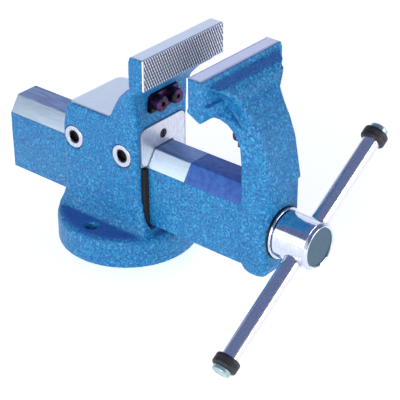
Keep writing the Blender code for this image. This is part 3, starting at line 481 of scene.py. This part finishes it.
# ---- Geometry Nodes -----------------------------------------------------------------
def node_group(name, sizes):
    """An empty tree with a number input for each (label, value), and a material input."""
    tree = bpy.data.node_groups.new(name, "GeometryNodeTree")
    face = tree.interface
    face.new_socket("Geometry", in_out="OUTPUT", socket_type="NodeSocketGeometry")
    sockets = {}
    for label, value in sizes:
        sockets[label] = face.new_socket(label, in_out="INPUT", socket_type="NodeSocketFloat")
        sockets[label].default_value = value
    sockets["Material"] = face.new_socket("Material", in_out="INPUT",
                                          socket_type="NodeSocketMaterial")

    def add(kind, settings=None, inputs=None):
        item = tree.nodes.new(kind)
        for key, value in (settings or {}).items():
            setattr(item, key, value)
        for key, value in (inputs or {}).items():
            if hasattr(value, "is_linked"):
                tree.links.new(value, item.inputs[key])
            else:
                item.inputs[key].default_value = value
        return item

    return tree, sockets, add


def finish_group(tree, given, add, geometry):
    """Ends a tree: real geometry, then its material."""
    real = add("GeometryNodeRealizeInstances", {}, {0: geometry})
    done = add("GeometryNodeSetMaterial", {}, {"Geometry": real.outputs[0],
                                               "Material": given["Material"]})
    tree.links.new(done.outputs[0], add("NodeGroupOutput").inputs[0])


def grown(name, tree, sockets, sizes, finish):
    """A plain mesh made by a tree with the given sizes."""
    ob = add_mesh(name, bpy.data.meshes.new(name), [])
    mod = ob.modifiers.new("grow", "NODES")
    mod.node_group = tree
    for label, value in sizes:
        mod[sockets[label].identifier] = value
    mod[sockets["Material"].identifier] = finish
    return bake(ob)


# ---- jaw teeth ----------------------------------------------------------------------
def tooth_tree():
    """A closed slab whose front face carries two crossing sets of grooves."""
    tree, sockets, add = node_group("jaw_teeth", (
        ("Width", 0.125), ("Height", 0.03), ("Thickness", 0.0016), ("Pitch", 0.003),
        ("Depth", 0.0008), ("Lean", 0.5)))

    def calc(operation, *values):
        return add("ShaderNodeMath", {"operation": operation}, dict(enumerate(values))).outputs[0]

    given = add("NodeGroupInput").outputs
    size = add("ShaderNodeCombineXYZ", {}, {0: given["Width"], 1: given["Thickness"],
                                            2: given["Height"]}).outputs[0]
    slab = add("GeometryNodeMeshCube", {}, {"Size": size, "Vertices X": 420, "Vertices Y": 2,
                                            "Vertices Z": 110})
    spot = add("ShaderNodeSeparateXYZ", {}, {0: add("GeometryNodeInputPosition").outputs[0]})
    x, y, z = spot.outputs
    grooves = []
    for slope, share in ((given["Lean"], 1.0), (calc("MULTIPLY", given["Lean"], -1.0), 0.62)):
        run = calc("ADD", x, calc("MULTIPLY", z, slope))
        wave = calc("PINGPONG", run, calc("MULTIPLY", given["Pitch"], 0.5))
        level = calc("DIVIDE", wave, calc("MULTIPLY", given["Pitch"], 0.5))
        grooves.append(calc("MULTIPLY", level, share))
    valley = calc("MAXIMUM", grooves[0], grooves[1])
    front = calc("LESS_THAN", y, 0.0)
    away = calc("SUBTRACT", calc("MULTIPLY", given["Width"], 0.5), calc("ABSOLUTE", x))
    inside = calc("GREATER_THAN", away, 0.0012)
    lift = calc("MULTIPLY", calc("MULTIPLY", valley, given["Depth"]),
                calc("MULTIPLY", front, inside))
    offset = add("ShaderNodeCombineXYZ", {}, {0: 0.0, 1: lift, 2: 0.0}).outputs[0]
    stored = add("GeometryNodeStoreNamedAttribute", {"data_type": "FLOAT", "domain": "POINT"},
                 {"Geometry": slab.outputs["Mesh"], "Name": "valley",
                  "Value": calc("MULTIPLY", valley, calc("MULTIPLY", front, inside))})
    moved = add("GeometryNodeSetPosition", {}, {"Geometry": stored.outputs[0], "Offset": offset})
    finish_group(tree, given, add, moved.outputs[0])
    return tree, sockets


tooth_group = tooth_tree()
TOOTH_SLAB = 0.0018


def jaw_teeth(name, y, turned_round, low_z, high_z, body):
    """A toothed jaw face with its crests at y; turned_round makes it face +Y."""
    ob = grown(name, *tooth_group, (
        ("Width", 2 * moving_high.x - 0.0006), ("Height", high_z - low_z),
        ("Thickness", TOOTH_SLAB), ("Pitch", 0.0034), ("Depth", 0.0011), ("Lean", 0.46)),
        tooth_finish)
    if turned_round:
        ob.data.transform(Matrix.Rotation(math.pi, 4, "Z"))
    shift = -TOOTH_SLAB / 2 if turned_round else TOOTH_SLAB / 2
    ob.data.transform(Matrix.Translation((0, y + shift, (low_z + high_z) / 2)))
    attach(ob, body)


# ---- forgings -----------------------------------------------------------------------
teeth_low, teeth_high = jaw_top_z - 0.0330, jaw_top_z - 0.0004
half_jaw = moving_high.x
TOOTH_SEAT = 0.0015        # the toothed slab lies this deep in its jaw
OVER = 0.002               # a cutter reaches this far past what it cuts


def make_body():
    ob = from_bmesh("fixed_body_forging", node_copy("fixed_body"), [])
    carve(ob, block((-half_jaw - OVER, face_y - OVER, teeth_low),
                    (half_jaw + OVER, face_y + TOOTH_SEAT, jaw_top_z + OVER)))
    forge(ob, 0.0015, 2)
    ob.data.materials.clear()
    ob.data.materials.append(body_finish)
    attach(ob, "frame")
    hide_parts("fixed_body")


def make_moving_jaw():
    ob = from_bmesh("moving_jaw_forging", node_copy("moving_jaw"), [])
    carve(ob, block((-half_jaw - OVER, moving_face_y - TOOTH_SEAT, teeth_low),
                    (half_jaw + OVER, moving_face_y + OVER, jaw_top_z + OVER)))
    carve(ob, block((-0.06, SLIDE_ROOT_Y, 0.02),
                    (0.06, moving_high.y + 0.01, SLIDE_TOP_Z + 0.005)))
    forge(ob, 0.0013, 1)
    ob.data.materials.clear()
    ob.data.materials.append(jaw_finish)
    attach(ob, "moving_jaw_and_slide")
    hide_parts("moving_jaw")


def make_slide():
    """The slide bar with its long edges broken, running into the column."""
    ob = from_bmesh("slide_bar", node_copy("moving_jaw"), [])
    carve(ob, block((-0.1, SLIDE_ROOT_Y - 0.0012, 0.0200),
                    (0.1, moving_high.y + 0.01, SLIDE_TOP_Z + 0.0005)), "INTERSECT")
    flat = ob.modifiers.new("flats", "DECIMATE")
    flat.decimate_type, flat.angle_limit = "DISSOLVE", math.radians(0.5)
    edge = ob.modifiers.new("broken_edges", "BEVEL")
    edge.width, edge.segments, edge.limit_method = 0.0009, 3, "ANGLE"
    edge.angle_limit = math.radians(25)
    bake(ob)
    ob.data.shade_smooth()
    ob.data.set_sharp_from_angle(angle=math.radians(25))
    ob.data.materials.clear()
    ob.data.materials.append(slide_finish)
    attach(ob, "moving_jaw_and_slide")


make_body()
make_moving_jaw()
make_slide()
jaw_teeth("fixed_jaw_teeth", face_y, False, teeth_low, teeth_high, "frame")
jaw_teeth("moving_jaw_teeth", moving_face_y, True, teeth_low, teeth_high,
          "moving_jaw_and_slide")


# ---- spindle ------------------------------------------------------------------------
spindle_low, spindle_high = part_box("spindle")
axis_z = (spindle_low.z + spindle_high.z) / 2
rod_joint = next(j for j in frame["joints"] if j["name"] == "handle_slide")
rod_axis = Vector(rod_joint["axis"]).normalized()
rod_low, rod_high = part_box("handle_rod")
rod_centre = (rod_low + rod_high) / 2
rod_middle = Vector((0.0, rod_centre.y, axis_z))
ROD_R = 0.0095
HEAD_LEN = 0.0416
THREAD_R, THREAD_PITCH = 0.0109, 0.006


def arc(along, radius, size, start, end, steps=6):
    """Points of a rounded corner of a turned profile, centred at (along, radius)."""
    points = []
    for i in range(steps + 1):
        a = math.radians(start + (end - start) * i / steps)
        points.append((along + size * math.cos(a), radius + size * math.sin(a)))
    return points


def make_spindle():
    """Flange, groove, head and shaft in one turning; returns the thread's ends and core radius."""
    front, rear = spindle_low.y, spindle_high.y
    flange_r = (spindle_high.z - spindle_low.z) / 2
    head_r, groove_r, core_r = 0.0254, 0.0232, 0.0086
    groove = front + HEAD_LEN
    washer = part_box("thrust_washer")[0].y
    profile = [(front + 0.0016, 0.001), (front + 0.0016, head_r - 0.0056)]
    profile += [(front + 0.0008, head_r - 0.0048)]
    profile += arc(front + 0.0012, head_r - 0.0036, 0.0012, 180, 115, 4)
    profile += [(front + 0.0030, head_r - 0.0006), (front + 0.0034, head_r),
                (groove - 0.0008, head_r), (groove - 0.0002, head_r - 0.0006),
                (groove, groove_r), (groove + 0.0008, groove_r)]
    profile += arc(groove + 0.0016, flange_r - 0.0008, 0.0008, 180, 90, 4)
    profile += arc(washer - 0.0011, flange_r - 0.0008, 0.0008, 90, 0, 4)
    profile += [(washer - 0.0003, THREAD_R), (washer + 0.045, THREAD_R), (washer + 0.047, core_r),
                (rear - 0.003, core_r), (rear, core_r - 0.003)]
    ob = from_bmesh("spindle_turned", turned(profile, (0, 1, 0), (0, 0, axis_z), 96), [])
    carve(ob, turned([(-0.04, ROD_R + 0.0004), (0.04, ROD_R + 0.0004)], rod_axis,
                     rod_middle, 48))
    mesh = ob.data
    mesh.materials.clear()
    mesh.materials.append(spindle_steel)
    mesh.materials.append(disc_steel)
    for poly in mesh.polygons:
        centre = poly.center
        spread = math.hypot(centre.x, centre.z - axis_z)
        poly.material_index = 1 if centre.y < front + 0.0018 and spread < head_r - 0.005 else 0
    mesh.shade_smooth()
    mesh.set_sharp_from_angle(angle=math.radians(35))
    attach(ob, "spindle_and_collar")
    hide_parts("spindle")
    return washer + 0.046, rear - 0.003, core_r


def thread_tree():
    """A trapezoidal ridge swept along a helix."""
    tree, sockets, add = node_group("spindle_thread", (
        ("Pitch", 0.006), ("Length", 0.3), ("Radius", 0.0097), ("Depth", 0.0024),
        ("Root", 0.0038), ("Crest", 0.0020)))
    given = add("NodeGroupInput").outputs
    turns = add("ShaderNodeMath", {"operation": "DIVIDE"}, {0: given["Length"],
                                                            1: given["Pitch"]}).outputs[0]
    helix = add("GeometryNodeCurveSpiral", {}, {"Resolution": 28, "Rotations": turns,
                                                "Start Radius": given["Radius"],
                                                "End Radius": given["Radius"],
                                                "Height": given["Length"]})
    level = add("GeometryNodeSetCurveNormal", {"mode": "Z_UP"}, {0: helix.outputs[0]})
    ridge = add("GeometryNodeCurvePrimitiveQuadrilateral", {"mode": "TRAPEZOID"}, {
        "Bottom Width": given["Root"], "Top Width": given["Crest"], "Offset": 0.0,
        "Height": given["Depth"]})
    turn = add("GeometryNodeTransform", {}, {"Geometry": ridge.outputs[0],
                                             "Rotation": (0.0, 0.0, -math.pi / 2)})
    swept = add("GeometryNodeCurveToMesh", {}, {"Curve": level.outputs[0],
                                                "Profile Curve": turn.outputs[0],
                                                "Fill Caps": True})
    finish_group(tree, given, add, swept.outputs[0])
    return tree, sockets


def make_thread(start, end, core_r):
    depth = THREAD_R - core_r
    ob = grown("spindle_thread", *thread_tree(), (
        ("Pitch", THREAD_PITCH), ("Length", end - start - 0.004),
        ("Radius", core_r + depth / 2 - 0.0001), ("Depth", depth + 0.0002),
        ("Root", 0.0038), ("Crest", 0.0020)), thread_steel)
    ob.data.transform(Matrix.Translation((0, start + 0.002, axis_z))
                      @ Matrix.Rotation(-math.pi / 2, 4, "X"))
    bm = bmesh.new()
    bm.from_mesh(ob.data)
    bmesh.ops.recalc_face_normals(bm, faces=bm.faces)
    bm.to_mesh(ob.data)
    bm.free()
    ob.data.shade_smooth()
    ob.data.set_sharp_from_angle(angle=math.radians(40))
    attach(ob, "spindle_and_collar")


make_thread(*make_spindle())


# ---- handle -------------------------------------------------------------------------
def make_rod():
    half = (rod_high - rod_low).x / 2
    half = (half - ROD_R * math.sqrt(1 - rod_axis.x ** 2)) / rod_axis.x
    profile = [(-half, ROD_R - 0.001), (-half + 0.001, ROD_R), (half - 0.001, ROD_R),
               (half, ROD_R - 0.001)]
    ob = from_bmesh("handle_rod_ground", turned(profile, rod_axis, rod_centre, 64), [rod_steel])
    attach(ob, "handle")
    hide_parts("handle_rod")
    for name, side in (("lower", -1), ("upper", 1)):
        axis = rod_axis * side
        seat = rod_centre + axis * half
        cap = [(0.0003, 0.0070), (0.0003, 0.0097)]
        cap += arc(0.0037, 0.0082, 0.0015, 90, 10, 5)
        cap += [(0.0053, 0.0070), (0.0049, 0.0060), (0.0049, 0.0004)]
        ob = from_bmesh("handle_cap_" + name + "_domed", turned(cap, axis, seat, 56), [cap_steel])
        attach(ob, "handle")
        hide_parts("handle_cap_" + name)
        make_ring(name, axis, seat)


def make_ring(name, axis, seat):
    """A moulded rubber bumper with two shallow grooves."""
    start, length, radius = -0.0123, 0.012, 0.0134
    profile = [(start, 0.0098), (start, 0.0115)]
    profile += arc(start + 0.0024, radius - 0.0024, 0.0024, 180, 90, 6)
    for groove in (0.42, 0.58):
        at = start + length * groove
        profile += [(at - 0.0006, radius), (at, radius - 0.0005), (at + 0.0006, radius)]
    profile += arc(start + length - 0.0024, radius - 0.0024, 0.0024, 90, 0, 6)
    profile += [(start + length, 0.0115), (start + length, 0.0098)]
    turn = turned(profile, axis, seat, 64)
    ob = from_bmesh("handle_ring_" + name + "_moulded", turn, [ring_rubber])
    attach(ob, "handle")
    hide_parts("handle_ring_" + name)


make_rod()


# ---- CAD pieces that keep their shape -----------------------------------------------
def wear(node, finish):
    ob = nodes[node]
    ob.data.materials.clear()
    ob.data.materials.append(finish)


SOCKET_R = 0.0066          # hexagon socket, to its corners


def make_screws():
    """Adjusting screws: a domed rim and a hexagon socket painted near-black as shade."""
    for side, word in ((-1, "left"), (1, "right")):
        for end in ("front", "rear"):
            node = "adjusting_screw_" + word + "_" + end
            low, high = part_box(node)
            radius = (high.z - low.z) / 2
            outer = high.x if side > 0 else -low.x
            inner = low.x if side > 0 else -high.x
            centre = (0.0, (low.y + high.y) / 2, (low.z + high.z) / 2)
            profile = [(inner, radius - 0.0002), (outer - 0.0012, radius - 0.0002)]
            profile += arc(outer - 0.0014, radius - 0.0016, 0.0014, 90, 8, 5)
            profile += [(outer - 0.0004, radius - 0.0052), (outer - 0.0012, radius - 0.0058)]
            ob = from_bmesh(node + "_turned", turned(profile, (side, 0, 0), centre, 56), [])
            carve(ob, turned([(outer - 0.0052, SOCKET_R), (outer + OVER, SOCKET_R)],
                             (side, 0, 0), centre, 6))
            ob.data.materials.clear()
            ob.data.materials.append(screw_steel)
            ob.data.materials.append(socket_painted_shade)
            # Painted shade: the faces inside the hexagon socket take the near-black finish, standing in for the
            # shade in the recess.
            for poly in ob.data.polygons:
                spread = math.hypot(poly.center.y - centre[1], poly.center.z - centre[2])
                in_socket = spread < SOCKET_R + 0.0001 and abs(poly.center.x) > inner + 0.001
                poly.material_index = int(in_socket)
            ob.data.shade_smooth()
            ob.data.set_sharp_from_angle(angle=math.radians(35))
            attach(ob, node)
            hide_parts(node)


def side_x(z):
    """Half-width of the slide at height z, below its bevels."""
    share = min(max((z - SLIDE_BOTTOM_Z) / 0.043, 0.0), 1.0)
    return 0.02625 - 0.00085 * (1 - share) ** 1.35


def make_gap_shade_strip():
    """A black strip that fills the gap beside and under the slide with painted shade."""
    inside, outside = [], []
    for i in range(13):
        z = SLIDE_SIDE_Z - (SLIDE_SIDE_Z - 0.0420) * i / 12
        inside.append((side_x(z) + 0.0004, z))
        outside.append((side_x(z) + 0.0062, z))
    outline = [(-x, z) for x, z in outside] + [(-0.0300, 0.0394), (0.0300, 0.0394)]
    outline += outside[::-1] + inside + [(0.0250, 0.0411), (-0.0250, 0.0411)]
    outline += [(-x, z) for x, z in inside[::-1]]
    rows = [[Vector((x, y, z)) for x, z in outline] for y in (-0.0550, -0.0460)]
    # Painted shade: a near-black sheet put in the gap where only shade falls.
    ob = from_bmesh("slide_gap_shade_strip", loft(rows), [gap_shade_black])
    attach(ob, "frame")


make_screws()
make_gap_shade_strip()
for node, finish in {
        "guide_plate": plate_steel, "guide_plate_screw": black_steel, "gib_left": gib_steel,
        "gib_right": gib_steel, "pipe_jaw_fixed": violet_reflection_steel, "pipe_jaw_moving": violet_reflection_steel,
        "spindle_nut": bronze, "nut_bolt_front": black_steel, "nut_bolt_rear": black_steel,
        "thrust_washer": black_steel, "retaining_collar": black_steel, "collar_pin": screw_steel,
        "pipe_jaw_fixed_screw_left": black_steel, "pipe_jaw_fixed_screw_right": black_steel,
        "pipe_jaw_moving_screw_left": black_steel, "pipe_jaw_moving_screw_right": black_steel,
        }.items():
    wear(node, finish)


# ---- studio -------------------------------------------------------------------------
def make_floor():
    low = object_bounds()[0]
    bm = bmesh.new()
    bmesh.ops.create_grid(bm, x_segments=1, y_segments=1, size=4.0)
    bmesh.ops.translate(bm, verts=bm.verts, vec=(0, 0, low.z - 0.0004))
    mesh = bpy.data.meshes.new("floor")
    bm.to_mesh(mesh)
    bm.free()
    pale = Finish("floor_white")
    shade = pale.noise(3.0, 2.0)
    paper = pale.done(Base_Color=pale.mix(shade, (0.93, 0.93, 0.93), (0.95, 0.95, 0.95)),
                      Roughness=0.85,
                      Emission_Color=(1.0, 0.985, 0.955), Emission_Strength=0.62)
    add_mesh("floor", mesh, [paper])


def area(name, place, aim, size, power, color=(1.0, 1.0, 1.0)):
    data = bpy.data.lights.new(name, "AREA")
    data.shape, data.size, data.size_y = "RECTANGLE", size[0], size[1]
    data.energy, data.color = power, color
    ob = bpy.data.objects.new(name, data)
    ob.location = place
    ob.rotation_euler = (Vector(aim) - Vector(place)).to_track_quat("-Z", "Y").to_euler()
    scene.collection.objects.link(ob)


def make_studio():
    """Tall soft panel on the left, dim panels behind and in front, blue-grey room above."""
    world = bpy.data.worlds.new("studio")
    scene.world = world
    world.use_nodes = True
    tree = world.node_tree
    back = tree.nodes["Background"]
    place = tree.nodes.new("ShaderNodeTexCoord")
    split = tree.nodes.new("ShaderNodeSeparateXYZ")
    ramp = tree.nodes.new("ShaderNodeMapRange")
    mix = tree.nodes.new("ShaderNodeMix")
    mix.data_type = "RGBA"
    ramp.inputs[1].default_value, ramp.inputs[2].default_value = 0.14, 0.42
    mix.inputs[6].default_value = (0.92, 0.94, 1.0, 1.0)
    mix.inputs[7].default_value = (0.17, 0.22, 0.42, 1.0)
    tree.links.new(place.outputs["Generated"], split.inputs[0])
    tree.links.new(split.outputs[2], ramp.inputs[0])
    tree.links.new(ramp.outputs[0], mix.inputs[0])
    tree.links.new(mix.outputs[2], back.inputs[0])
    back.inputs[1].default_value = 0.9
    area("left_panel", (-1.9, 0.5, 0.75), (0, 0, 0.12), (2.6, 1.3), 15.0)
    area("left_key", (-1.4, -0.9, 0.55), (0, -0.05, 0.1), (0.7, 0.7), 11.0)
    area("front_fill", (0.7, -1.9, 0.5), (0, -0.1, 0.1), (1.0, 0.9), 12.0)
    area("rear_panel", (1.5, 1.3, 1.25), (0, 0, 0.15), (1.8, 1.2), 6.0, (0.86, 0.89, 1.0))
    scene.view_settings.view_transform = "Standard"


make_floor()
make_studio()
